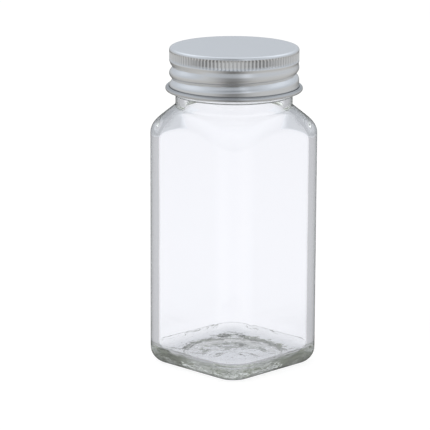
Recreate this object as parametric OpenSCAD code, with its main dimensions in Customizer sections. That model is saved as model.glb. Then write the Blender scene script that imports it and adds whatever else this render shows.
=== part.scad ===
// Square glass spice jar with a metal screw cap.
// The jar stands on Z = 0 with its faces square to X and Y and its axis on Z.
// The cap is shown screwed down. Lengths are in millimetres.

/* [Jar body] */
// Width of the square body across its flats
body_width = 45.5; // [42:0.5:60]
// Radius of the four upright corners
body_corner = 9.4; // [6:0.2:12]
// Height at which the upright corners turn into the shoulder
shoulder_start = 80.5; // [50:0.5:120]
// Radius between the upright corner and the sloping shoulder
shoulder_radius = 5.6; // [4:0.2:9]
// Slope of the shoulder above the horizontal, in degrees
shoulder_slope = 39; // [30:1:50]
// Radius of the heel, where the sides turn under to the foot
heel_radius = 5.4; // [3:0.2:7]

/* [Glass thickness] */
// Thickness of the upright walls
wall = 2.2; // [1.6:0.1:3.4]
// How much smaller the radius of the upright corners is inside
corner_step = 1.4; // [0.6:0.1:3]
// Thickness of the sloping shoulder
shoulder_wall = 2.6; // [2:0.1:4]
// Radius between the walls and the shoulder inside
inner_shoulder_radius = 7; // [2:0.2:8]
// Thickness of the neck between its bore and the root of the thread
neck_wall = 2.8; // [1.8:0.1:3.6]
// Height of the floor in its middle
base_thickness = 4.3; // [3.5:0.1:8]
// How much higher the floor is at its corners
floor_rise = 1.4; // [0.4:0.1:3]
// Radius where the inside walls meet the floor
floor_radius = 2.4; // [1.6:0.2:7]
// Height of the hollow pushed up under the base
push_up = 1.6; // [0.6:0.1:2.4]
// Least width of the ring that the jar stands on
bearing_width = 1; // [0.8:0.1:3]

/* [Neck] */
// Diameter of the neck at the root of the thread
neck_diameter = 39.6; // [34:0.1:41]
// Height of the neck from the shoulder to the rim
neck_height = 18.72; // [18:0.01:30]
// Radius where the neck meets the shoulder
neck_root_radius = 0.8; // [0.4:0.1:2]
// Radius of the ring of glass that shows just below the cap
neck_ring = 0.9; // [0.5:0.1:1.1]
// Radius on the edges of the rim
rim_radius = 0.8; // [0.3:0.1:1.2]

/* [Thread] */
// Rise of the thread in one turn
pitch = 4.233; // [3.8:0.001:5]
// How far the glass thread stands out from the neck
glass_thread_height = 1.2; // [0.9:0.05:1.3]
// Width of the glass thread at its crest
glass_thread_crest = 1; // [0.6:0.1:1.2]
// Slope of the glass thread's flanks, as extra half width at its root
glass_thread_flank = 0.75; // [0.4:0.05:0.9]
// Glass left plain between the thread and the rim
thread_below_rim = 1.3; // [0.8:0.1:2]
// How deep the cap's thread is rolled into its skirt
cap_thread_depth = 1.15; // [0.9:0.05:1.3]
// Half width of the rolled thread on the outside of the cap
cap_thread_half_width = 1.5; // [1.2:0.05:1.7]
// How far the glass thread runs above the cap's thread
thread_play = 1.6; // [1.5:0.05:2]

/* [Cap] */
// Height of the cap
cap_height = 14.8; // [13.8:0.1:17]
// Thickness of the cap's metal
sheet = 0.3; // [0.2:0.05:0.4]
// Gap between the crest of the glass thread and the inside of the cap
cap_clearance = 0.65; // [0.5:0.05:1]
// Radius on the top edge of the cap
cap_edge_radius = 0.9; // [0.5:0.1:1.4]
// Radius of the curl rolled outwards at the mouth of the cap
curl_radius = 0.8; // [0.6:0.05:1]
// Height from the mouth of the cap to the low end of its thread
cap_thread_start = 3.1; // [3:0.1:3.6]

/* [Knurling] */
// Number of flutes round the cap
knurl_count = 108; // [60:1:120]
// Depth of a flute
knurl_depth = 0.3; // [0.1:0.05:0.4]
// Radius of a flute
knurl_radius = 0.5; // [0.3:0.05:0.55]
// Height of the knurled band
knurl_height = 3.7; // [2:0.1:4]
// Plain metal above the knurled band
knurl_below_top = 0.7; // [0.6:0.1:1.5]

/* [Liner] */
// Thickness of the sealing disc inside the cap
liner_thickness = 0.9; // [0.5:0.1:1.5]
// Gap between the disc's edge and the rounded corner inside the cap
liner_clearance = 0.1; // [0.05:0.05:0.3]

/* [Hidden] */
$fn = 96;

// Jar
neck_r = neck_diameter / 2;
bore_r = neck_r - neck_wall;
corner_reach = (body_width / 2 - body_corner) * sqrt(2) + body_corner;
turning_gap = 0.05;
outer_r = corner_reach + turning_gap;
inner_width = body_width - 2 * wall;
inner_corner = body_corner - corner_step;
inner_r = (inner_width / 2 - inner_corner) * sqrt(2) + inner_corner + turning_gap;
slope_normal = [sin(shoulder_slope), cos(shoulder_slope)];
outer_centre = [outer_r - shoulder_radius, shoulder_start];
outer_line = outer_centre * slope_normal + shoulder_radius;
neck_root_z = (outer_line - neck_r * slope_normal[0]) / slope_normal[1];
rim_z = neck_root_z + neck_height;
inner_line = outer_line - shoulder_wall;
inner_neck_z = (inner_line - bore_r * slope_normal[0]) / slope_normal[1];
inner_shoulder_z = (inner_line - inner_shoulder_radius
    - (inner_r - inner_shoulder_radius) * slope_normal[0]) / slope_normal[1];
floor_edge = [inner_r - floor_radius, base_thickness + floor_rise];
dish_r = (floor_edge[0] * floor_edge[0] + floor_rise * floor_rise) / (2 * floor_rise);
bore_edge_radius = 2;
push_up_r = body_width / 2 - heel_radius - bearing_width;
push_up_step = 0.4;

// Cap
cap_inner_r = neck_r + glass_thread_height + cap_clearance;
cap_r = cap_inner_r + sheet;
seat_z = rim_z;
cap_top = seat_z + liner_thickness + sheet;
cap_bottom = cap_top - cap_height;
curl_centre = [cap_inner_r + curl_radius, cap_bottom + curl_radius];
knurl_top = cap_top - knurl_below_top;
knurl_bottom = knurl_top - knurl_height;
knurl_inner_r = cap_inner_r - knurl_depth;
cap_inner_edge = cap_edge_radius - sheet;
ring_z = cap_bottom - 0.5;

// Thread, which climbs anticlockwise seen from above
thread_steps = 40;
thread_taper = 40 / 360;
front_angle = -45.7;
cap_thread_angle = front_angle - 150;
cap_thread_z = cap_bottom + cap_thread_start;
cap_thread_turns = (knurl_bottom - cap_thread_half_width - cap_thread_z) / pitch;
glass_thread_z = cap_thread_z + thread_play;
glass_thread_root = glass_thread_crest / 2 + glass_thread_flank;
glass_thread_turns = (rim_z - thread_below_rim - glass_thread_root - glass_thread_z) / pitch;

// Points along an arc, as [x, y]
function arc(centre, r, from, to, steps) =
    [for (i = [0:steps]) let(a = from + (to - from) * i / steps) centre + r * [cos(a), sin(a)]];

// Rounded root between the shoulder's slope and an upright line at x, where the two would meet at z
function root_arc(x, z, r) =
    arc([x + r, z + r * tan((90 - shoulder_slope) / 2)], r, 270 - shoulder_slope, 180, 4);

// How much of the thread's full height is left, at a part t of its length in turns
function taper(t, turns) =
    let(s = min(t, turns - t) / thread_taper) s >= 1 ? 1 : (1 - cos(180 * max(s, 0))) / 2;

// Rings of a thread: profile(k) gives [radius, height] for a share k of the full height
module helix(profiles, angle, z, turns) {
    rings = len(profiles);
    sides = len(profiles[0]);
    points = [for (i = [0:rings - 1], p = profiles[i])
        let(a = angle + 360 * turns * i / (rings - 1), h = z + pitch * turns * i / (rings - 1))
        [p[0] * cos(a), p[0] * sin(a), p[1] + h]];
    skin = [for (i = [0:rings - 2], j = [0:sides - 1])
        let(k = (j + 1) % sides, a = i * sides, b = a + sides)
        each [[a + j, b + j, b + k], [a + j, b + k, a + k]]];
    start = [[for (j = [0:sides - 1]) j]];
    end = [[for (j = [0:sides - 1]) rings * sides - 1 - j]];
    polyhedron(points, concat(start, skin, end), convexity = 10);
}

// Outline across the glass thread, standing out by a share of its height
function glass_thread_outline(share) =
    let(r = neck_r - 0.1 + (glass_thread_height + 0.1) * share, c = glass_thread_crest / 2, w = glass_thread_root)
    [[neck_r - 0.6, -w], [neck_r - 0.6, w], [neck_r - 0.1, w], [r, c], [r, -c], [neck_r - 0.1, -w]];

// Round outline across the rolled thread, pressed inwards by a share of its depth
function rolled_outline(back_r, face_r, half_width, share) =
    let(n = 6) concat([[back_r, half_width], [back_r, -half_width]],
        [for (i = [0:n]) let(y = 2 * i / n - 1)
            [face_r - cap_thread_depth * share * (1 + cos(180 * y)) / 2, half_width * y]]);

function along(turns, steps) = [for (i = [0:steps]) turns * i / steps];

module rounded_square(side, r) {
    straight = side - 2 * r;
    square([side, straight], center = true);
    square([straight, side], center = true);
    for (x = [-1, 1], y = [-1, 1])
        translate([x, y] * straight / 2) circle(r);
}

// Space between two sides whose lower edges turn under, running along Y
module turned_under(side, r, floor, top) {
    reach = side / 2;
    past = reach + 5;
    rotate([90, 0, 0]) linear_extrude(2 * past, center = true) polygon(concat(
        [[-past, top], [-past, floor + r]],
        arc([r - reach, floor + r], r, 180, 270, 6),
        arc([reach - r, floor + r], r, 270, 360, 6),
        [[past, floor + r], [past, top]]));
}

// Square column with rounded corners, turned under at its floor and shaped above by a turned outline
module square_vessel(side, corner, heel, floor, top, outline) {
    intersection() {
        translate([0, 0, floor]) linear_extrude(top - floor) rounded_square(side, corner);
        turned_under(side, heel, floor, top + 1);
        rotate([0, 0, 90]) turned_under(side, heel, floor, top + 1);
        rotate_extrude() polygon(outline);
    }
}

module outside_of_glass() {
    square_vessel(body_width, body_corner, heel_radius, 0, rim_z + 2, concat(
        [[0, 0]],
        arc([outer_r - heel_radius, heel_radius], heel_radius, 270, 360, 8),
        arc(outer_centre, shoulder_radius, 0, 90 - shoulder_slope, 6),
        root_arc(neck_r, neck_root_z, neck_root_radius),
        arc([neck_r, ring_z], neck_ring, -90, 90, 8),
        arc([neck_r - rim_radius, rim_z - rim_radius], rim_radius, 0, 90, 4),
        [[0, rim_z]]));
}

module inside_of_glass() {
    square_vessel(inner_width, inner_corner, floor_radius, base_thickness, rim_z + 2, concat(
        arc([0, base_thickness + dish_r], dish_r, 270, 270 + asin(floor_edge[0] / dish_r), 5),
        arc(floor_edge + [0, floor_radius], floor_radius, 275, 360, 6),
        arc([inner_r - inner_shoulder_radius, inner_shoulder_z], inner_shoulder_radius,
            0, 90 - shoulder_slope, 5),
        root_arc(bore_r, inner_neck_z, bore_edge_radius),
        arc([bore_r + rim_radius, rim_z - rim_radius], rim_radius, 180, 90, 4),
        [[bore_r + rim_radius, rim_z + 1], [0, rim_z + 1]]));
}

module push_up_hollow() {
    dome = push_up - push_up_step;
    dome_r = (push_up_r * push_up_r + dome * dome) / (2 * dome);
    spread = asin(push_up_r / dome_r);
    rotate_extrude() polygon(concat(
        [[0, -1], [push_up_r, -1]],
        arc([0, push_up - dome_r], dome_r, 90 - spread, 90, 4)));
}

module glass_thread() {
    shares = [for (t = along(glass_thread_turns, ceil(glass_thread_turns * thread_steps)))
        glass_thread_outline(taper(t, glass_thread_turns))];
    helix(shares, cap_thread_angle, glass_thread_z, glass_thread_turns);
}

module glass_jar() {
    color([0.86, 0.91, 0.90, 0.4]) {
        difference() {
            outside_of_glass();
            inside_of_glass();
            push_up_hollow();
        }
        glass_thread();
    }
}

// Turned outline of the cap before its thread is rolled and its band is knurled
module cap_blank() {
    crease = acos((curl_centre[0] - cap_r) / curl_radius);
    rotate_extrude() polygon(concat(
        [[0, cap_top - sheet], [0, cap_top]],
        arc([cap_r - cap_edge_radius, cap_top - cap_edge_radius], cap_edge_radius, 90, 0, 4),
        arc(curl_centre, curl_radius, 180 - crease, -180, 14),
        [[cap_inner_r, knurl_bottom - knurl_depth], [knurl_inner_r, knurl_bottom]],
        arc([knurl_inner_r - cap_inner_edge, cap_top - sheet - cap_inner_edge], cap_inner_edge, 0, 90, 3)));
}

module rolled_thread(back_r, face_r, half_width) {
    shares = [for (t = along(cap_thread_turns, ceil(cap_thread_turns * thread_steps)))
        rolled_outline(back_r, face_r, half_width, taper(t, cap_thread_turns))];
    helix(shares, cap_thread_angle, cap_thread_z, cap_thread_turns);
}

module knurl_flutes() {
    for (i = [0:knurl_count - 1])
        rotate([0, 0, 360 * i / knurl_count])
            translate([cap_r - knurl_depth + knurl_radius, 0, knurl_bottom])
                cylinder(r = knurl_radius, h = knurl_height, $fn = 16);
}

module screw_cap() {
    bite = 0.01;
    color([0.72, 0.73, 0.76]) difference() {
        union() {
            cap_blank();
            rolled_thread(cap_inner_r + sheet / 2, cap_inner_r + bite, cap_thread_half_width + 0.2);
        }
        rolled_thread(cap_r + 1, cap_r + bite, cap_thread_half_width);
        knurl_flutes();
    }
}

module cap_liner() {
    r = knurl_inner_r - cap_inner_edge - liner_clearance;
    edge = 0.2;
    color([0.94, 0.94, 0.92]) translate([0, 0, seat_z]) rotate_extrude() polygon([
        [0, 0], [r - edge, 0], [r, edge], [r, liner_thickness - edge], [r - edge, liner_thickness],
        [0, liner_thickness]]);
}

glass_jar();
screw_cap();
cap_liner();
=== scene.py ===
# %% [markdown]
# # A square glass spice jar with a metal screw cap
# The jar is pressed from clear glass and closed by a screw cap of rolled aluminium with a white foam
# disc inside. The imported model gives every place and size, so each piece is made where it belongs and
# nothing has to be fitted afterwards. The jar's four sides face X and Y, and its axis is Z.

# %% The fixed frame
import math

import bmesh
import bpy
from mathutils import Matrix, Vector, noise


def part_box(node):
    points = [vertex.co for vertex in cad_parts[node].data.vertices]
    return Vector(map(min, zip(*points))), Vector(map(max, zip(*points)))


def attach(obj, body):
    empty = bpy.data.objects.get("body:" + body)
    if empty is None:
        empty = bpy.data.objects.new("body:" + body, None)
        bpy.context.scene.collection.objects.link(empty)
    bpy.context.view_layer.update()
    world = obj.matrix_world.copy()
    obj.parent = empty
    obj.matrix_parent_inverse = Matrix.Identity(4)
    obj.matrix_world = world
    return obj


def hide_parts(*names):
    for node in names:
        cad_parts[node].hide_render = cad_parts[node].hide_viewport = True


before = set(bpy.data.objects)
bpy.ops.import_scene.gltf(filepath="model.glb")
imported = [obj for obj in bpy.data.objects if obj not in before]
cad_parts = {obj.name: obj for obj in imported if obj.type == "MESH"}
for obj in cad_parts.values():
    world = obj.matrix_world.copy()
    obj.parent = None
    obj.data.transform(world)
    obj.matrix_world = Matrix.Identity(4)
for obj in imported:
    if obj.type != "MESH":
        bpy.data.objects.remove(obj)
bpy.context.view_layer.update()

# %% [markdown]
# The sizes come first, as on a drawing. They are written in millimetres, because jars are, and turned
# into metres in one place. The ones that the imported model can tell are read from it, so the glass, the
# cap and the disc keep to their solids.

# %% Sizes
MM = 0.001

jar_low, jar_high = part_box("glass_jar")
cap_low, cap_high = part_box("screw_cap")
disc_low, disc_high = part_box("cap_liner")

BODY_WIDTH = 45.5 * MM
BODY_CORNER = 9.4 * MM
SHOULDER_START = 80.5 * MM
SHOULDER_RADIUS = 5.6 * MM
SHOULDER_SLOPE = math.radians(39)
HEEL_RADIUS = 5.4 * MM
WALL = 2.2 * MM
INNER_CORNER = 8 * MM
SHOULDER_WALL = 2.6 * MM
INNER_TURN = 7 * MM
BASE = 4.3 * MM
FLOOR_RISE = 1.4 * MM
FLOOR_RADIUS = 2.4 * MM
PUSH_UP = 1.6 * MM
PUSH_UP_RADIUS = 16.35 * MM
NECK_RADIUS = 19.8 * MM
NECK_ROOT = 0.8 * MM
BORE_RADIUS = 17 * MM
BORE_ROOT = 2 * MM
RIM_RADIUS = 0.8 * MM
RIM = jar_high.z
PITCH = 4.233 * MM

CAP_TOP = cap_high.z
CAP_MOUTH = cap_low.z
CAP_RADIUS = 21.95 * MM
SHEET = 0.3 * MM
FRONT = math.radians(-45.7)
THREAD_START = FRONT - math.radians(150)
print(f"jar {jar_high.z / MM:.2f} mm to its rim, cap {(CAP_TOP - CAP_MOUTH) / MM:.2f} mm high")

# %% [markdown]
# The camera stands a little above the jar, 0.95 m away, and looks at its front corner through a long
# lens, as for a catalogue picture. The long lens keeps the jar's sides nearly parallel. The small turn
# to the left puts the jar a little right of the middle, and the small roll is the photograph's own.

# %% The camera
FRAME_PIXELS = 430
VIEW_AZIMUTH = math.radians(44.33)
VIEW_PITCH = math.radians(13.453)
VIEW_ROLL = math.radians(0.332)
VIEW_DISTANCE = 915.7 * MM
VIEW_HEIGHT = 270.7 * MM
LENS_PIXELS = 2756.1
OFF_MIDDLE_PIXELS = 18.34

camera_data = bpy.data.cameras.new("camera")
camera_data.sensor_width = 36
camera_data.lens = LENS_PIXELS / FRAME_PIXELS * camera_data.sensor_width
camera_data.clip_start = 0.05
camera = bpy.data.objects.new("camera", camera_data)
bpy.context.scene.collection.objects.link(camera)
camera.matrix_world = (
    Matrix.Translation((
        math.sin(VIEW_AZIMUTH) * VIEW_DISTANCE,
        -math.cos(VIEW_AZIMUTH) * VIEW_DISTANCE,
        VIEW_HEIGHT,
    ))
    @ Matrix.Rotation(VIEW_AZIMUTH, 4, "Z")
    @ Matrix.Rotation(math.radians(90) - VIEW_PITCH, 4, "X")
    @ Matrix.Rotation(math.atan(OFF_MIDDLE_PIXELS / LENS_PIXELS), 4, "Y")
    @ Matrix.Rotation(VIEW_ROLL, 4, "Z")
)
bpy.context.scene.camera = camera
print(f"lens {camera_data.lens:.1f} mm, {camera.location.length:.3f} m from the jar's foot")

# %% [markdown]
# Materials are written as sums. A `Mark` is one output of a node, and Python's signs on it add Math
# nodes. A `Finish` holds the nodes of one material or of the world, and its one method adds a node:
# its settings go in first, and then the values or marks of its sockets.


# %% Nodes as sums
class Mark:
    """One output of a node, which can be added, multiplied and compared like a number."""

    def __init__(self, finish, socket):
        self.finish = finish
        self.socket = socket

    def maths(self, operation, *others):
        return self.finish.add("Math", dict(enumerate((self, *others))), operation=operation)

    def __add__(self, other):
        return self.maths("ADD", other)

    def __sub__(self, other):
        return self.maths("SUBTRACT", other)

    def __rsub__(self, other):
        return self.finish.add("Math", {0: other, 1: self}, operation="SUBTRACT")

    def __mul__(self, other):
        return self.maths("MULTIPLY", other)

    def __truediv__(self, other):
        return self.maths("DIVIDE", other)

    __radd__ = __add__
    __rmul__ = __mul__


class Finish:
    """The nodes of one material, or of the world."""

    def __init__(self, owner):
        owner.use_nodes = True
        self.owner = owner
        self.tree = owner.node_tree
        self.tree.nodes.clear()

    def add(self, kind, sockets=None, output=0, stops=None, **settings):
        node = self.tree.nodes.new("ShaderNode" + kind)
        for name, value in settings.items():
            setattr(node, name, value)
        if stops:
            ramp = node.color_ramp.elements
            while len(ramp) < len(stops):
                ramp.new(1)
            for element, (place, *tone) in zip(ramp, stops):
                element.position = place
                element.color = (*(tone * 3)[:3], 1)
        for name, value in (sockets or {}).items():
            if isinstance(value, Mark):
                self.tree.links.new(value.socket, node.inputs[name])
            else:
                node.inputs[name].default_value = value
        return Mark(self, node.outputs[output]) if node.outputs else None


def new_material(name):
    return Finish(bpy.data.materials.new(name))


# %% [markdown]
# ## The room
# Clear glass has no colour of its own: it shows what stands behind and beside it. So the room is made
# in three parts, told apart by what a ray has met. The camera itself sees pure white. Metal and the
# glass's skin mirror a grey room that grows lighter towards the ceiling, with a card behind the jar, the
# camera's own dark side in front and one narrow lamp on the right. What is seen through the glass is a
# softer white that darkens a little with each mirroring inside the glass. A ray that has been turned
# back many times in the thick base comes from its dark corners. The cards stand where they stood round
# the photograph's camera, so from other sides the jar is lit by the same room.

# %% The world
world = Finish(bpy.data.worlds.new("room"))
bpy.context.scene.world = world.owner
direction = world.add("TexCoord", output="Generated")
east = world.add("SeparateXYZ", {0: direction}, output="X")
north = world.add("SeparateXYZ", {0: direction}, output="Y")
up = world.add("SeparateXYZ", {0: direction}, output="Z")
bearing = north.maths("ARCTAN2", east)


def glow_at(turn, tightness):
    """A soft upright glow in the room, this many degrees to the right of the photograph's camera."""
    middle = VIEW_AZIMUTH - math.pi / 2 + math.radians(turn)
    return ((bearing - middle).maths("COSINE") * 0.5 + 0.5).maths("POWER", tightness)


climb = up * 0.5 + 0.5
height = world.add("ValToRGB", {"Fac": climb}, stops=[
    (0.0, 0.48), (0.25, 0.54), (0.36, 0.56), (0.46, 0.62),
    (0.62, 0.65), (0.72, 0.72), (0.85, 0.82), (0.95, 0.72), (1.0, 0.68),
])
tint = world.add("ValToRGB", {"Fac": climb}, stops=[(0.35, 1, 1, 0.99), (0.60, 0.86, 0.92, 1.0)])
table = world.add("MapRange", {0: up, 1: 0.08, 2: -0.20, 3: 0.0, 4: 1.0})
behind = 1 - glow_at(180, 10) * table * 0.8
in_front = 1 - glow_at(-2, 15) * (table * 0.42 + 0.26)
lamps_seen = glow_at(22, 150) * (1 - table) * 0.5 + 1
ceiling = world.add("MapRange", {0: up, 1: 0.30, 2: 0.75, 3: 0.0, 4: 1.0})
overhead = world.add("MapRange", {0: up, 1: 0.75, 2: 0.92, 3: 1.0, 4: 0.0})
ceiling = (1 + glow_at(180, 2) * ceiling * overhead * 0.5) * (1 - glow_at(0, 3) * ceiling * overhead * 0.6)
reflected = height * behind * in_front * lamps_seen * ceiling
mirrored = world.add("Background", {"Color": tint, "Strength": reflected})

is_glossy = world.add("LightPath", output="Is Glossy Ray")
is_through = world.add("LightPath", output="Is Transmission Ray")
is_camera = world.add("LightPath", output="Is Camera Ray")
turned_back = world.add("LightPath", output="Glossy Depth")
ONCE = 0.42  # how much one mirroring inside the glass darkens the floor
TWICE = 0.12  # how much of that the second gives back
PATCH_DARK, PATCH_LIGHT = -0.5, 0.74  # what the second does to the room, from patch to patch
THROUGH_GLOW = 0.5  # share of the floor's glow that is seen through the glass
once = turned_back.maths("MINIMUM", 1)
twice = turned_back.maths("MINIMUM", 2) - once
patches = world.add("TexNoise", {"Vector": direction, "Scale": 4.0, "Detail": 2.0})
patchy = world.add("MapRange", {0: patches, 1: 0.4, 2: 0.6, 3: PATCH_DARK, 4: PATCH_LIGHT})
sideways = (bearing - VIEW_AZIMUTH).maths("COSINE").maths("ABSOLUTE")
sideways = (sideways * 1.4).maths("MINIMUM", 1)
trap = world.add("MapRange", {0: turned_back, 1: 3.0, 2: 7.0, 3: 0.0, 4: 0.85})
trap = trap * world.add("MapRange", {0: up, 1: 0.0, 2: 0.15, 3: 0.0, 4: 1.0})
often = turned_back.maths("MINIMUM", 5) - turned_back.maths("MINIMUM", 2)
often = often * world.add("MapRange", {0: up, 1: -0.25, 2: -0.10, 3: 0.0, 4: 1.0})
often = often * world.add("MapRange", {0: up, 1: 0.30, 2: 0.15, 3: 0.0, 4: 1.0})
clearness = (1 - once * 0.25 + twice * patchy + often * 0.14) * (1 - trap * sideways)
horizon = world.add("MapRange", {0: up, 1: -0.02, 2: 0.14, 3: 1.06, 4: 0.76})
through = world.add("Background", {"Color": (0.90, 0.93, 1, 1), "Strength": clearness * horizon})
daylight = world.add("Background", {"Color": (1, 1, 1, 1), "Strength": 0.75})
backdrop = world.add("Background", {"Color": (1, 1, 1, 1), "Strength": 1})
room = world.add("MixShader", {0: is_glossy, 1: daylight, 2: mirrored})
was_trapped = turned_back.maths("GREATER_THAN", 2.5)
room = world.add("MixShader", {0: is_through.maths("MAXIMUM", was_trapped), 1: room, 2: through})
room = world.add("MixShader", {0: is_camera, 1: room, 2: backdrop})
world.add("OutputWorld", {"Surface": room})
print("world nodes:", len(world.tree.nodes))

# %% [markdown]
# The floor is a wide white sheet. The camera sees it as white as the backdrop, with only the soft
# shadow left on it. Mirrors look past it at the room. Through the glass it is seen with part of its
# glow, a little cooler, and dimmer after the first mirroring inside the glass than after the second.

# %% The floor
bpy.ops.object.select_all(action="DESELECT")
bpy.ops.mesh.primitive_plane_add(size=8, location=(0, 0, -0.02 * MM))
floor = bpy.context.object
floor.name = "floor"
floor.visible_glossy = False
paper = new_material("white_paper")
speckle = paper.add("TexNoise", {"Vector": paper.add("TexCoord", output="Object"), "Scale": 300.0})
matt = paper.add("BsdfPrincipled", {
    "Base Color": (0.9, 0.9, 0.9, 1),
    "Roughness": speckle * 0.2 + 0.7,
    "Specular IOR Level": 0.0,
})
seen_through = paper.add("LightPath", output="Glossy Depth").maths("MINIMUM", 1)
seen_through = paper.add("LightPath", output="Is Transmission Ray").maths("MAXIMUM", seen_through)
glow = paper.add("Emission", {"Color": (1, 1, 1, 1), "Strength": 1.12})
bright = paper.add("Emission", {"Color": (0.90, 0.912, 1, 1), "Strength": 1.34})
dark = paper.add("Emission", {"Color": (0, 0, 0, 1), "Strength": 0.0})
glowing = paper.add("LightPath", output="Is Camera Ray") * 0.75
turned = paper.add("LightPath", output="Glossy Depth")
once = turned.maths("MINIMUM", 1)
dimmed = once * ONCE - (turned.maths("MINIMUM", 2) - once) * TWICE
shown = paper.add("MixShader", {0: glowing, 1: matt, 2: glow})
shown = paper.add("MixShader", {0: seen_through * THROUGH_GLOW, 1: shown, 2: bright})
paper.add("OutputMaterial", {"Surface": paper.add("MixShader", {0: dimmed, 1: shown, 2: dark})})
floor.data.materials.append(paper.owner)
print("floor:", tuple(floor.dimensions))

# %% [markdown]
# Two large soft lamps light the matt surfaces, one high on the left and a weaker one on the right. They
# are wide and close enough to leave no hard edge, and neither the metal nor the glass mirrors them.


# %% The lamps
def soft_lamp(name, bearing, height, distance, size, power):
    lamp = bpy.data.objects.new(name, bpy.data.lights.new(name, "AREA"))
    lamp.data.shape = "DISK"
    lamp.data.size = size
    lamp.data.energy = power
    angle = VIEW_AZIMUTH + math.radians(bearing)
    lamp.location = (math.sin(angle) * distance, -math.cos(angle) * distance, height)
    aim = Vector((0, 0, 0.06)) - lamp.location
    lamp.rotation_euler = aim.to_track_quat("-Z", "Y").to_euler()
    lamp.visible_glossy = lamp.visible_transmission = False
    bpy.context.scene.collection.objects.link(lamp)
    return lamp


key = soft_lamp("key_lamp", -50, 0.9, 0.7, 0.5, 3)
fill = soft_lamp("fill_lamp", 60, 0.7, 0.9, 0.6, 1.5)
print("lamps:", key.data.energy, fill.data.energy, "W")

# %% [markdown]
# ## Rings
# Both the glass and the cap are stacks of rings, so they are made as one would by hand: a first ring is
# extruded again and again, and each new ring is laid in its place. A ring of the square jar can't just
# be scaled, so every corner point of the mesh remembers its home on the first ring, the outline of the
# body, and a place is a small function from that home to the point's new spot.


# %% Helpers for rings
def begin(kind, **settings):
    """Adds one of Blender's primitives with nothing else selected, in edit mode."""
    bpy.ops.object.select_all(action="DESELECT")
    getattr(bpy.ops.mesh, f"primitive_{kind}_add")(**settings)
    bpy.ops.object.mode_set(mode="EDIT")
    bpy.ops.mesh.select_mode(type="EDGE")
    bpy.ops.mesh.select_all(action="SELECT")
    return bpy.context.object


def pick(piece, kind, wanted):
    """Selects the piece's vertices, edges or faces that are wanted, and nothing else."""
    bpy.ops.mesh.select_mode(type={"verts": "VERT", "edges": "EDGE", "faces": "FACE"}[kind])
    bpy.ops.mesh.select_all(action="DESELECT")
    shape = bmesh.from_edit_mesh(piece.data)
    for item in getattr(shape, kind):
        item.select_set(bool(wanted(item)))
    shape.select_flush_mode()
    bmesh.update_edit_mesh(piece.data)


def remember_homes(piece):
    shape = bmesh.from_edit_mesh(piece.data)
    home = shape.verts.layers.float_vector.new("home")
    for point in shape.verts:
        point[home] = point.co
    bmesh.update_edit_mesh(piece.data)


def lay(piece, place):
    """Puts every selected point where its place is, seen from its home."""
    shape = bmesh.from_edit_mesh(piece.data)
    home = shape.verts.layers.float_vector["home"]
    for point in shape.verts:
        if point.select:
            point.co = place(point[home])
    bmesh.update_edit_mesh(piece.data)


def stack(piece, places):
    """Extrudes the selected ring once for each place."""
    for place in places:
        bpy.ops.mesh.extrude_region_move()
        lay(piece, place)


def close_ends(piece):
    """Fills the two small holes that a stack of rings leaves, each with a fan of triangles."""
    bpy.ops.mesh.select_all(action="SELECT")
    bpy.ops.mesh.fill_holes(sides=0)
    pick(piece, "faces", lambda face: len(face.verts) > 4)
    bpy.ops.mesh.poke()
    bpy.ops.mesh.select_all(action="SELECT")
    bpy.ops.mesh.normals_make_consistent(inside=False)


def steps(count, first=0.0, last=1.0):
    return [first + (last - first) * i / count for i in range(1, count + 1)]


def upright(radius, height):
    """A round ring."""
    return lambda home: home.normalized() * radius + Vector((0, 0, height))


def complete(piece, name, body, node, finish, sharp=40):
    """Smooths a finished piece, gives it its finish, and ties it to the model."""
    bpy.ops.object.mode_set(mode="OBJECT")
    if "home" in piece.data.attributes:
        piece.data.attributes.remove(piece.data.attributes["home"])
    bpy.ops.object.shade_smooth_by_angle(angle=math.radians(sharp))
    piece.name = piece.data.name = name
    piece.data.materials.clear()
    piece.data.materials.append(finish)
    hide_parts(node)
    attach(piece, body)
    piece.data.calc_loop_triangles()
    size = [round(side / MM, 2) for side in piece.dimensions]
    print(f"{name}: {len(piece.data.loop_triangles)} triangles, {size} mm")


# %% [markdown]
# ## The jar
# The body is a square with rounded corners. Its sides and corners rise straight and then turn over into
# a sloping shoulder, the same cone all round, so the turn starts low on the corners, which reach out
# furthest, and high in the middle of the sides. The neck is round. One stack of rings makes the whole
# jar: from the middle of the hollow under its base, out over the foot, up the outside, over the rim,
# down the inside, and in over the floor.

# %% The outline of the body
CORNER_STEPS = 20
SIDE_STEPS = 28

jar = begin("plane", size=BODY_WIDTH, location=(0, 0, 0))
bpy.ops.mesh.bevel(offset=BODY_CORNER, segments=CORNER_STEPS, affect="VERTICES")
pick(jar, "edges", lambda edge: edge.calc_length() > BODY_WIDTH / 4)
bpy.ops.mesh.subdivide(number_cuts=SIDE_STEPS - 1)
bpy.ops.mesh.select_all(action="SELECT")
bpy.ops.mesh.delete(type="ONLY_FACE")
bpy.ops.mesh.select_all(action="SELECT")
remember_homes(jar)
print("points in the outline:", 4 * (CORNER_STEPS + SIDE_STEPS))

# %% [markdown]
# An inset of the outline keeps its sides parallel, as in the jar's mould. The shoulder is laid out in
# the plane through the axis and each point: a wall, an arc that leaves it upright, and the slope.

# %% Places on the body
SINE = math.sin(SHOULDER_SLOPE)
COSINE = math.cos(SHOULDER_SLOPE)
STRAIGHT = BODY_WIDTH / 2 - BODY_CORNER
INNER_STRAIGHT = BODY_WIDTH / 2 - WALL - INNER_CORNER
CORNER_REACH = STRAIGHT * math.sqrt(2) + BODY_CORNER + 0.05 * MM
OUTER_LINE = (CORNER_REACH - SHOULDER_RADIUS) * SINE + SHOULDER_START * COSINE + SHOULDER_RADIUS
INNER_LINE = OUTER_LINE - SHOULDER_WALL


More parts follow.
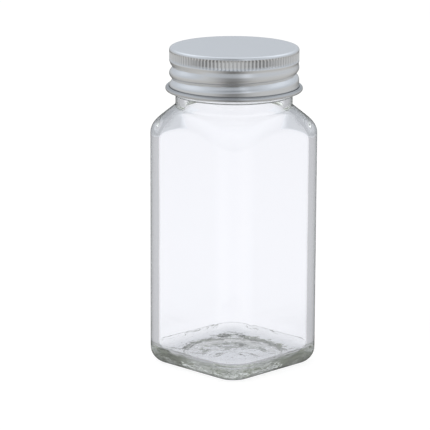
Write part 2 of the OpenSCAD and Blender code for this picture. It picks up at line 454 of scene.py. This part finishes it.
def inset(home, depth, inner=False):
    """The point this deep inside the outline of the body, or of the hollow inside it."""
    core = Vector([max(-STRAIGHT, min(STRAIGHT, value)) for value in home.xy] + [0])
    outwards = (home - core).normalized()
    if inner:
        core *= INNER_STRAIGHT / STRAIGHT
        return core + outwards * (INNER_CORNER - depth)
    return home - outwards * depth


def flat_inset(depth, height, inner=False):
    return lambda home: inset(home, depth, inner) + Vector((0, 0, height))


class Shoulder:
    """One skin of the body where its walls turn over an arc into the sloping shoulder."""

    def __init__(self, inner, radius, line):
        self.inner, self.radius, self.line = inner, radius, line

    def start(self, reach):
        """Height at which a wall this far from the axis starts to turn over."""
        return (self.line - self.radius - (reach - self.radius) * SINE) / COSINE

    def wall(self, share, foot, wave=0):
        """A ring of the upright wall, a share of the way from its foot to the arc."""
        def place(home):
            point = inset(home, 0, self.inner)
            point.z = foot + (self.start(point.length) - foot) * share
            uneven = wave * math.sin(math.pi * share) * noise.noise(point * 90)
            return inset(home, uneven, self.inner) + Vector((0, 0, point.z))
        return place

    def turn(self, share):
        """A ring of the arc."""
        angle = share * (math.pi / 2 - SHOULDER_SLOPE)
        def place(home):
            point = inset(home, 0, self.inner)
            across = point.length - self.radius * (1 - math.cos(angle))
            height = self.start(point.length) + self.radius * math.sin(angle)
            return point.normalized() * across + Vector((0, 0, height))
        return place

    def root(self, neck, radius, count):
        """Radius and height of the points along the arc between the slope and the neck."""
        low = 1.5 * math.pi - SHOULDER_SLOPE
        meet = (self.line - neck * SINE) / COSINE
        meet += radius * math.tan((math.pi / 2 - SHOULDER_SLOPE) / 2)
        return [
            (neck + radius * (1 + math.cos(a)), meet + radius * math.sin(a))
            for a in [low] + steps(count, low, math.pi)
        ]

    def rise(self, share, root):
        """A ring of the slope, a share of the way from the arc to the neck's root."""
        low, high = self.turn(1), upright(*root)
        return lambda home: low(home).lerp(high(home), share)


outer = Shoulder(False, SHOULDER_RADIUS, OUTER_LINE)
hollow = Shoulder(True, INNER_TURN, INNER_LINE)


# %% [markdown]
# The neck carries one ring just below the cap and a thread that climbs anticlockwise, one and a half
# turns, and runs out at both ends. The rings of the neck lie close together, so that the thread can be
# raised from them like a ridge from a fine net.

# %% The thread on the neck
THREAD_LOW = CAP_MOUTH + 4.7 * MM
THREAD_TURNS = (RIM - 2.55 * MM - THREAD_LOW) / PITCH
THREAD_HEIGHT = 1.2 * MM
THREAD_CREST = 0.45 * MM
THREAD_ROOT = 1.3 * MM
THREAD_RUN_OUT = 40 / 360


def run_out(turns, length):
    """Share of a thread's full height, this many turns from its start."""
    share = min(turns, length - turns) / THREAD_RUN_OUT
    return 0.5 - 0.5 * math.cos(math.pi * max(0, min(1, share)))


def along_thread(home, height, low, length, shape):
    """Height of a thread's ridge at a point round the neck, whichever of its turns is nearest."""
    turned = (math.atan2(home.y, home.x) - THREAD_START) / math.tau % 1
    most = 0
    for turns in (turned, turned + 1):
        if turns < length:
            off = abs(height - low - PITCH * turns)
            most = max(most, shape(off) * run_out(turns, length))
    return most


def glass_ridge(off):
    fall = (off - THREAD_CREST) / (THREAD_ROOT - THREAD_CREST)
    return THREAD_HEIGHT * (0.5 + 0.5 * math.cos(math.pi * max(0, min(1, fall))))


def threaded(height):
    def place(home):
        ridge = along_thread(home, height, THREAD_LOW, THREAD_TURNS, glass_ridge)
        return home.normalized() * (NECK_RADIUS + ridge) + Vector((0, 0, height))
    return place


print(f"thread: {THREAD_TURNS:.2f} turns from {THREAD_LOW / MM:.1f} mm up")

# %% [markdown]
# The hollow under the base is a shallow dome with a small step at its edge. The jar stands on the ring
# between that step and the heel. A fine seam runs round the jar where the heel meets the walls, as the
# mould's bottom plate leaves it.

# %% Under the base and up the outside
STEP = 0.4 * MM
STEP_ROUND = 0.15 * MM
SEAM_WIDTH = 0.5 * MM
SEAM_DEPTH = 0.12 * MM
DOME = PUSH_UP - STEP
DOME_RADIUS = (PUSH_UP_RADIUS ** 2 + DOME ** 2) / (2 * DOME)


def dome(share):
    radius = PUSH_UP_RADIUS * share
    return upright(radius, PUSH_UP - DOME_RADIUS + math.sqrt(DOME_RADIUS ** 2 - radius ** 2))


lay(jar, dome(0.03))
stack(jar, [dome(share) for share in (0.1, 0.25, 0.4, 0.55, 0.7, 0.85, 0.95, 0.99)])
stack(jar, [
    upright(PUSH_UP_RADIUS, STEP - STEP_ROUND),
    upright(PUSH_UP_RADIUS + 0.03 * MM, STEP_ROUND),
    upright(PUSH_UP_RADIUS + STEP_ROUND, 0.02 * MM),
    upright(PUSH_UP_RADIUS + 2 * STEP_ROUND, 0),
])
quarter = [0] + steps(10, 0, math.pi / 2)
stack(jar, [
    flat_inset(HEEL_RADIUS * (1 - math.sin(angle)), HEEL_RADIUS * (1 - math.cos(angle)))
    for angle in quarter
])
stack(jar, [flat_inset(SEAM_DEPTH * deep, HEEL_RADIUS + SEAM_WIDTH * share) for share, deep in (
    (0.15, 0.3), (0.4, 1), (0.6, 1), (0.85, 0.3), (1, 0),
)])
stack(jar, [outer.wall(share, HEEL_RADIUS + SEAM_WIDTH) for share in steps(16)])
stack(jar, [outer.turn(share) for share in steps(10)])
outer_root = outer.root(NECK_RADIUS, NECK_ROOT, 6)
stack(jar, [outer.rise(share, outer_root[0]) for share in steps(4)])
stack(jar, [upright(*point) for point in outer_root[1:]])
print(f"shoulder starts {outer.start(CORNER_REACH) / MM:.1f} mm up on the corners,",
      f"{outer.start(BODY_WIDTH / 2) / MM:.1f} mm up on the sides")

# %% The neck and its rim
RING_HEIGHT = CAP_MOUTH - 0.5 * MM
RING_RADIUS = 0.9 * MM
NET = 0.2 * MM

bead = [-math.pi / 2] + steps(10, -math.pi / 2, math.pi / 2)
stack(jar, [
    upright(NECK_RADIUS + RING_RADIUS * math.cos(a), RING_HEIGHT + RING_RADIUS * math.sin(a)) for a in bead
])
net_low = RING_HEIGHT + RING_RADIUS + 2 * NET
net_high = RIM - RIM_RADIUS
net_count = round((net_high - net_low) / NET)
stack(jar, [threaded(height) for height in steps(net_count, net_low, net_high)])
for middle, angles in ((NECK_RADIUS - RIM_RADIUS, steps(5, 0, math.pi / 2)),
                       (BORE_RADIUS + RIM_RADIUS, [math.pi / 2] + steps(5, math.pi / 2, math.pi))):
    stack(jar, [
        upright(middle + RIM_RADIUS * math.cos(a), net_high + RIM_RADIUS * math.sin(a))
        for a in angles
    ])
print(f"neck: {net_count} rings of the net, rim at {RIM / MM:.2f} mm")

# %% [markdown]
# Inside, the walls follow the outside at the thickness of the glass. Pressed glass is never quite even
# there, and the faint ripple is what bends the straight lines seen through a real jar.

# %% Down the inside and over the floor
WAVE = 0.12 * MM
FLOOR_REACH = INNER_STRAIGHT * math.sqrt(2) + INNER_CORNER - FLOOR_RADIUS
DISH_RADIUS = (FLOOR_REACH ** 2 + FLOOR_RISE ** 2) / (2 * FLOOR_RISE)


def dished(point):
    """Lifts a point to the floor's dish, which is lowest in the middle."""
    drop = math.sqrt(DISH_RADIUS ** 2 - point.xy.length_squared)
    return point.xy.to_3d() + Vector((0, 0, BASE + DISH_RADIUS - drop))


inner_root = hollow.root(BORE_RADIUS, BORE_ROOT, 8)
stack(jar, [upright(BORE_RADIUS, height) for height in steps(6, RIM - RIM_RADIUS, inner_root[-1][1])])
stack(jar, [upright(*point) for point in reversed(inner_root[:-1])])
stack(jar, [hollow.rise(share, inner_root[0]) for share in steps(4, 1, 0)])
stack(jar, [hollow.turn(share) for share in steps(8, 1, 0)])
stack(jar, [hollow.wall(share, BASE + FLOOR_RISE + FLOOR_RADIUS, WAVE) for share in steps(30, 1, 0)])


def fillet(angle):
    """A ring of the rounding between the walls and the floor."""
    def place(home):
        low = dished(inset(home, FLOOR_RADIUS, True))
        point = inset(home, FLOOR_RADIUS * (1 - math.cos(angle)), True)
        return point + Vector((0, 0, low.z + FLOOR_RADIUS * (1 - math.sin(angle))))
    return place


def over_floor(share):
    return lambda home: dished(inset(home, FLOOR_RADIUS, True) * share)


stack(jar, [fillet(angle) for angle in steps(10, 0, math.pi / 2)])
stack(jar, [over_floor(share) for share in steps(9, 1, 0.03)])
close_ends(jar)
print("floor of the inside:", BASE / MM, "mm up")

# %% [markdown]
# Clear glass is a Principled shader that lets light through, with a weak absorption inside, so that
# thick places turn a faint grey-green. Its skin is not perfectly flat, which a very low bump gives. The
# bump grows under the base, where the mould is stippled, and lies in long ripples at the heel. A shadow
# ray goes straight through, because glass throws a light shadow and not a black one. Light that has run
# round inside for long is let out. For the camera, a painted shade darkens the outer skin where it is
# almost edge on, as a thin dark line round the glass.

# %% Clear glass
LUMPS = 0.9
TRAPPED = 12.5
RIPPLES = 1.5
PAINTED_EDGE_LINE = 1.0
glass = new_material("clear_glass")
place_on = glass.add("TexCoord", output="Object")
swell = glass.add("TexNoise", {"Vector": place_on, "Scale": 110.0, "Detail": 1.0})
above = glass.add("SeparateXYZ", {0: place_on}, output="Z")
under = glass.add("MapRange", {0: above, 1: 1.0 * MM, 2: 5.0 * MM, 3: 1.0, 4: 0.0})
lumps = glass.add("TexNoise", {"Vector": place_on, "Scale": 420.0, "Detail": 2.0})
near_heel = glass.add("MapRange", {0: above, 1: 5.0 * MM, 2: 7.0 * MM, 3: 1.0, 4: 0.0})
flat_on = glass.add("VectorMath", {0: place_on, 1: (1.0, 1.0, 3.0)}, operation="MULTIPLY")
ripples = glass.add("TexNoise", {"Vector": flat_on, "Scale": 170.0, "Detail": 2.0})
uneven = swell * 0.05 + lumps * under * LUMPS + ripples * near_heel * RIPPLES
skin = glass.add("Bump", {"Height": uneven, "Strength": 1.0, "Distance": 0.4 * MM})
clear = glass.add("BsdfPrincipled", {
    "Base Color": (1, 1, 1, 1),
    "Roughness": 0.0,
    "IOR": 1.5,
    "Transmission Weight": 1.0,
    "Normal": skin,
})
let_through = glass.add("BsdfTransparent", {"Color": (0.74, 0.77, 0.76, 1)})
let_out = glass.add("BsdfTransparent", {"Color": (1, 1, 1, 1)})
in_shadow = glass.add("LightPath", output="Is Shadow Ray")
trapped = glass.add("LightPath", output="Glossy Depth").maths("GREATER_THAN", TRAPPED)
clear = glass.add("MixShader", {0: trapped, 1: clear, 2: let_out})
# Painted shade: a dark see-through line where the outer skin is almost edge on, seen by the camera only.
grazing = glass.add("LayerWeight", {"Blend": 0.5}, output="Facing").maths("POWER", 4)
grazing = grazing * (1 - glass.add("NewGeometry", output="Backfacing"))
grazing = grazing * glass.add("LightPath", output="Is Camera Ray")
painted_edge_line = glass.add("BsdfTransparent", {"Color": (0.08, 0.09, 0.09, 1)})
clear = glass.add("MixShader", {0: grazing * PAINTED_EDGE_LINE, 1: clear, 2: painted_edge_line})
tint = glass.add("VolumeAbsorption", {"Color": (0.79, 0.815, 0.70, 1), "Density": 12.0})
glass.add("OutputMaterial", {
    "Surface": glass.add("MixShader", {0: in_shadow, 1: clear, 2: let_through}),
    "Volume": tint,
})
complete(jar, "jar_glass", "jar", "glass_jar", glass.owner)

# %% [markdown]
# ## The cap
# The cap is one sheet of aluminium: drawn into a shallow cup, knurled round its top, with the thread
# rolled into its skirt and its mouth curled outwards. The rolled thread is a groove with a narrow
# bottom, and under the knurled band the skirt is drawn in to a soft waist. Only one face of the sheet is
# modelled, as a stack of rings from the middle of the top to the end of the curl, and a Solidify
# modifier gives it its thickness.

# %% The knurled band and the rolled thread
FLUTES = 108
POINTS_A_FLUTE = 4
FLUTE_DEPTH = 0.3 * MM
FLUTE_RADIUS = 0.5 * MM
FLUTES_TOP = CAP_TOP - 0.7 * MM
FLUTES_LOW = FLUTES_TOP - 3.7 * MM
FLUTE_END = 0.35 * MM
ROLLED_DEPTH = 1.15 * MM
ROLLED_HALF = 2.05 * MM
ROLLED_LOW = CAP_MOUTH + 3.1 * MM
ROLLED_TURNS = (FLUTES_LOW - 1.5 * MM - ROLLED_LOW) / PITCH
WAIST_DEPTH = 0.22 * MM
WAIST_START = -0.1 * MM
WAIST_LOW = 0.75 * MM
WAIST_END = 2.6 * MM


def fluted(home, height):
    """How deep the flutes are pressed at a point of the skirt."""
    ends = min(height - FLUTES_LOW, FLUTES_TOP - height) / FLUTE_END
    if ends <= 0:
        return 0
    off = (math.atan2(home.y, home.x) / math.tau * FLUTES + 0.5) % 1 - 0.5
    across = off * math.tau * CAP_RADIUS / FLUTES
    deep = math.sqrt(max(0, FLUTE_RADIUS ** 2 - across ** 2)) - (FLUTE_RADIUS - FLUTE_DEPTH)
    return max(0, deep) * min(1, ends)


def rolled_groove(off):
    """Depth of the rolled thread, a groove with a narrow bottom between round ridges."""
    share = min(1, off / ROLLED_HALF)
    narrow = 1 - math.sin(math.pi / 2 * share)
    soft = 0.5 + 0.5 * math.cos(math.pi * share)
    return ROLLED_DEPTH * (0.75 * narrow + 0.25 * soft)


def waist(height):
    """Depth of the soft hollow just under the knurled band."""
    below = FLUTES_LOW - height
    if below < WAIST_LOW:
        share = (below + WAIST_START) / (WAIST_LOW + WAIST_START)
    else:
        share = (WAIST_END - below) / (WAIST_END - WAIST_LOW)
    return WAIST_DEPTH * (0.5 - 0.5 * math.cos(math.pi * max(0, min(1, share))))


def skirt(height):
    def place(home):
        pressed = fluted(home, height)
        groove = along_thread(home, height, ROLLED_LOW, ROLLED_TURNS, rolled_groove)
        pressed += math.hypot(waist(height), groove)
        return home.normalized() * (CAP_RADIUS - pressed) + Vector((0, 0, height))
    return place


# %% The stack of the cap
CAP_EDGE = 0.9 * MM
CURL = 0.5 * MM
CURL_MIDDLE = (CAP_RADIUS + CURL, CAP_MOUTH + CURL + SHEET)

cap = begin("circle", vertices=FLUTES * POINTS_A_FLUTE, radius=CAP_RADIUS, location=(0, 0, 0))
bpy.ops.mesh.select_all(action="SELECT")
remember_homes(cap)
lay(cap, upright(0.5 * MM, CAP_TOP))
flat_edge = CAP_RADIUS - CAP_EDGE
stack(cap, [upright(flat_edge * share, CAP_TOP) for share in (0.1, 0.25, 0.45, 0.65, 0.8, 0.9, 0.96, 1)])
stack(cap, [
    upright(flat_edge + CAP_EDGE * math.sin(a), CAP_TOP - CAP_EDGE + CAP_EDGE * math.cos(a))
    for a in steps(8, 0, math.pi / 2)
])
band_heights = [FLUTES_TOP - FLUTE_END * share for share in (0.0, 0.5, 1.0)]
band_heights += steps(4, FLUTES_TOP - FLUTE_END, FLUTES_LOW + FLUTE_END)
band_heights += [FLUTES_LOW + FLUTE_END * 0.5, FLUTES_LOW]
stack(cap, [skirt(height) for height in band_heights if height < CAP_TOP - CAP_EDGE - 0.05 * MM])
stack(cap, [skirt(height) for height in steps(46, FLUTES_LOW, CURL_MIDDLE[1] + 0.75 * MM)])
curl_turns = steps(20, math.pi, math.radians(180 + 300))
stack(cap, [upright(CAP_RADIUS, CURL_MIDDLE[1] + 0.35 * MM), upright(CAP_RADIUS, CURL_MIDDLE[1])])
stack(cap, [
    upright(CURL_MIDDLE[0] + CURL * math.cos(a), CURL_MIDDLE[1] + CURL * math.sin(a)) for a in curl_turns
])
print("points round the cap:", FLUTES * POINTS_A_FLUTE)

# %% [markdown]
# The pole at the middle of the top is closed with a fan. The sheet then gets its thickness inwards.

# %% The sheet of the cap
pick(cap, "edges", lambda edge: edge.is_boundary and edge.verts[0].co.xy.length < MM)
bpy.ops.mesh.edge_face_add()
bpy.ops.mesh.select_mode(type="FACE")
bpy.ops.mesh.poke()
bpy.ops.mesh.select_all(action="SELECT")
bpy.ops.mesh.normals_make_consistent(inside=False)
cap_shape = bmesh.from_edit_mesh(cap.data)
top_face = max(cap_shape.faces, key=lambda face: face.calc_center_median().z)
if top_face.normal.z < 0:
    bpy.ops.mesh.flip_normals()
bpy.ops.object.mode_set(mode="OBJECT")
thickness = cap.modifiers.new("sheet", "SOLIDIFY")
thickness.thickness = SHEET
thickness.offset = -1
thickness.use_even_offset = True
bpy.ops.object.modifier_apply(modifier=thickness.name)
print("cap box:", [round(value / MM, 2) for value in cap.dimensions])

# %% [markdown]
# Rolled aluminium is satin: fine marks run round the skirt and round the top, left by the rollers and
# the chuck, and they spread every reflection across them. The marks follow the sheet, so they are a
# noise that is stretched round the axis and tight along the sheet's outline, which is the sum of radius
# and height. Painted shade darkens the bottoms of the flutes, the curled lip and the crease above it.

# %% Satin metal
# How much painted shade darkens the bottoms of the flutes.
PAINTED_FLUTE_SHADE = 0.2
metal = new_material("satin_aluminium")
here = metal.add("TexCoord", output="Object")
x = metal.add("SeparateXYZ", {0: here}, output="X")
y = metal.add("SeparateXYZ", {0: here}, output="Y")
z = metal.add("SeparateXYZ", {0: here}, output="Z")
radius = (x * x + y * y).maths("SQRT").maths("MAXIMUM", 0.1 * MM)
outline = (radius - z) * 2600
marks_at = metal.add("CombineXYZ", {0: x / radius * 1.2, 1: y / radius * 1.2, 2: outline})
marks = metal.add("TexNoise", {"Vector": marks_at, "Scale": 1.0, "Detail": 3.0, "Roughness": 0.6})
broad_at = metal.add("CombineXYZ", {0: x / radius * 2, 1: y / radius * 2, 2: outline * 0.08})
broad = metal.add("TexNoise", {"Vector": broad_at, "Scale": 1.0, "Detail": 2.0})
flute = (y.maths("ARCTAN2", x) * FLUTES).maths("COSINE") * 0.5 + 0.5
band = metal.add("MapRange", {0: z, 1: FLUTES_LOW, 2: FLUTES_LOW + FLUTE_END, 3: 0.0, 4: 1.0})
band = band * metal.add("MapRange", {0: z, 1: FLUTES_TOP, 2: FLUTES_TOP - FLUTE_END, 3: 0.0, 4: 1.0})
# The marks and broad patches are the metal's own tone. The flutes get painted shade on top of it.
tone_and_painted_shade = (marks * 0.06 + broad * 0.05 + 0.93) * (1 - band * flute * PAINTED_FLUTE_SHADE)
# Painted shade on the curled lip and in the crease above it.
painted_lip_shade = metal.add("MapRange", {0: z, 1: CAP_MOUTH + 1.5 * MM, 2: CAP_MOUTH + 1.1 * MM, 3: 0.0, 4: 1.0})
from_crease = (z - CAP_MOUTH - 1.5 * MM).maths("ABSOLUTE")
painted_crease_shade = metal.add("MapRange", {0: from_crease, 1: 0.1 * MM, 2: 0.4 * MM, 3: 1.0, 4: 0.0})
tone_and_painted_shade = tone_and_painted_shade * (1 - painted_lip_shade * 0.2) * (1 - painted_crease_shade * 0.5)
grain = metal.add("Bump", {"Height": marks, "Strength": 0.12, "Distance": 0.02 * MM})
ramp = metal.add("ValToRGB", {"Fac": tone_and_painted_shade}, stops=[(0.0, 0.0), (1.0, 0.90)])
body_metal = metal.add("BsdfPrincipled", {
    "Base Color": ramp,
    "Metallic": 1.0,
    "Roughness": marks * 0.12 + 0.16,
    "Normal": grain,
})
metal.add("OutputMaterial", {"Surface": body_metal})
complete(cap, "cap_metal_sheet", "cap", "screw_cap", metal.owner, sharp=35)

# %% [markdown]
# ## The sealing disc
# A white foamed disc sits in the top of the cap and is pressed on the rim. It shows when the cap is
# off, with the ring that the rim has pressed into it.

# %% The disc
disc_radius = disc_high.x
disc_middle = (disc_low.z + disc_high.z) / 2
disc_thickness = disc_high.z - disc_low.z
DISC_EDGE = 0.15 * MM
PRESSED = 0.06 * MM

disc = begin("cylinder", vertices=160, radius=disc_radius, depth=disc_thickness,
             location=(0, 0, disc_middle), end_fill_type="NGON")
pick(disc, "edges", lambda edge: abs(edge.verts[0].co.z - edge.verts[1].co.z) < 0.01 * MM)
bpy.ops.mesh.bevel(offset=DISC_EDGE, segments=3, affect="EDGES")
print("disc:", round(disc_radius / MM, 2), "mm in radius")

# %% The mark of the rim on the disc
pick(disc, "faces", lambda face: len(face.verts) > 4 and face.normal.z < 0)
for border, drop in ((disc_radius - 20.1 * MM, 0), (0.3 * MM, PRESSED), (2.6 * MM, 0), (0.3 * MM, -PRESSED)):
    bpy.ops.mesh.inset(thickness=max(border, 0.05 * MM), depth=0)
    bpy.ops.transform.translate(value=(0, 0, drop))
pick(disc, "faces", lambda face: len(face.verts) > 4)
for ring in range(4):
    bpy.ops.mesh.inset(thickness=2 * MM)
bpy.ops.mesh.poke()
foam = new_material("white_foam")
cells_at = foam.add("TexCoord", output="Object")
cells = foam.add("TexVoronoi", {"Vector": cells_at, "Scale": 2600.0})
foam_bump = foam.add("Bump", {"Height": cells, "Strength": 0.2, "Distance": 0.03 * MM})
foam_tone = foam.add("ValToRGB", {"Fac": cells}, stops=[(0.0, 0.80), (1.0, 0.88)])
soft = foam.add("BsdfPrincipled", {
    "Base Color": foam_tone,
    "Roughness": 0.65,
    "Normal": foam_bump,
})
foam.add("OutputMaterial", {"Surface": soft})
complete(disc, "sealing_disc", "liner", "cap_liner", foam.owner)

# %% [markdown]
# ## The end
# The view transform is Standard, so that a colour renders as it is written.

# %% Last settings
bpy.context.scene.view_settings.view_transform = "Standard"
bpy.context.scene.cycles.transparent_max_bounces = 24
bpy.context.scene.cycles.max_bounces = 24
bpy.context.scene.cycles.transmission_bounces = 20
bpy.context.scene.cycles.glossy_bounces = 20
bpy.context.view_layer.update()
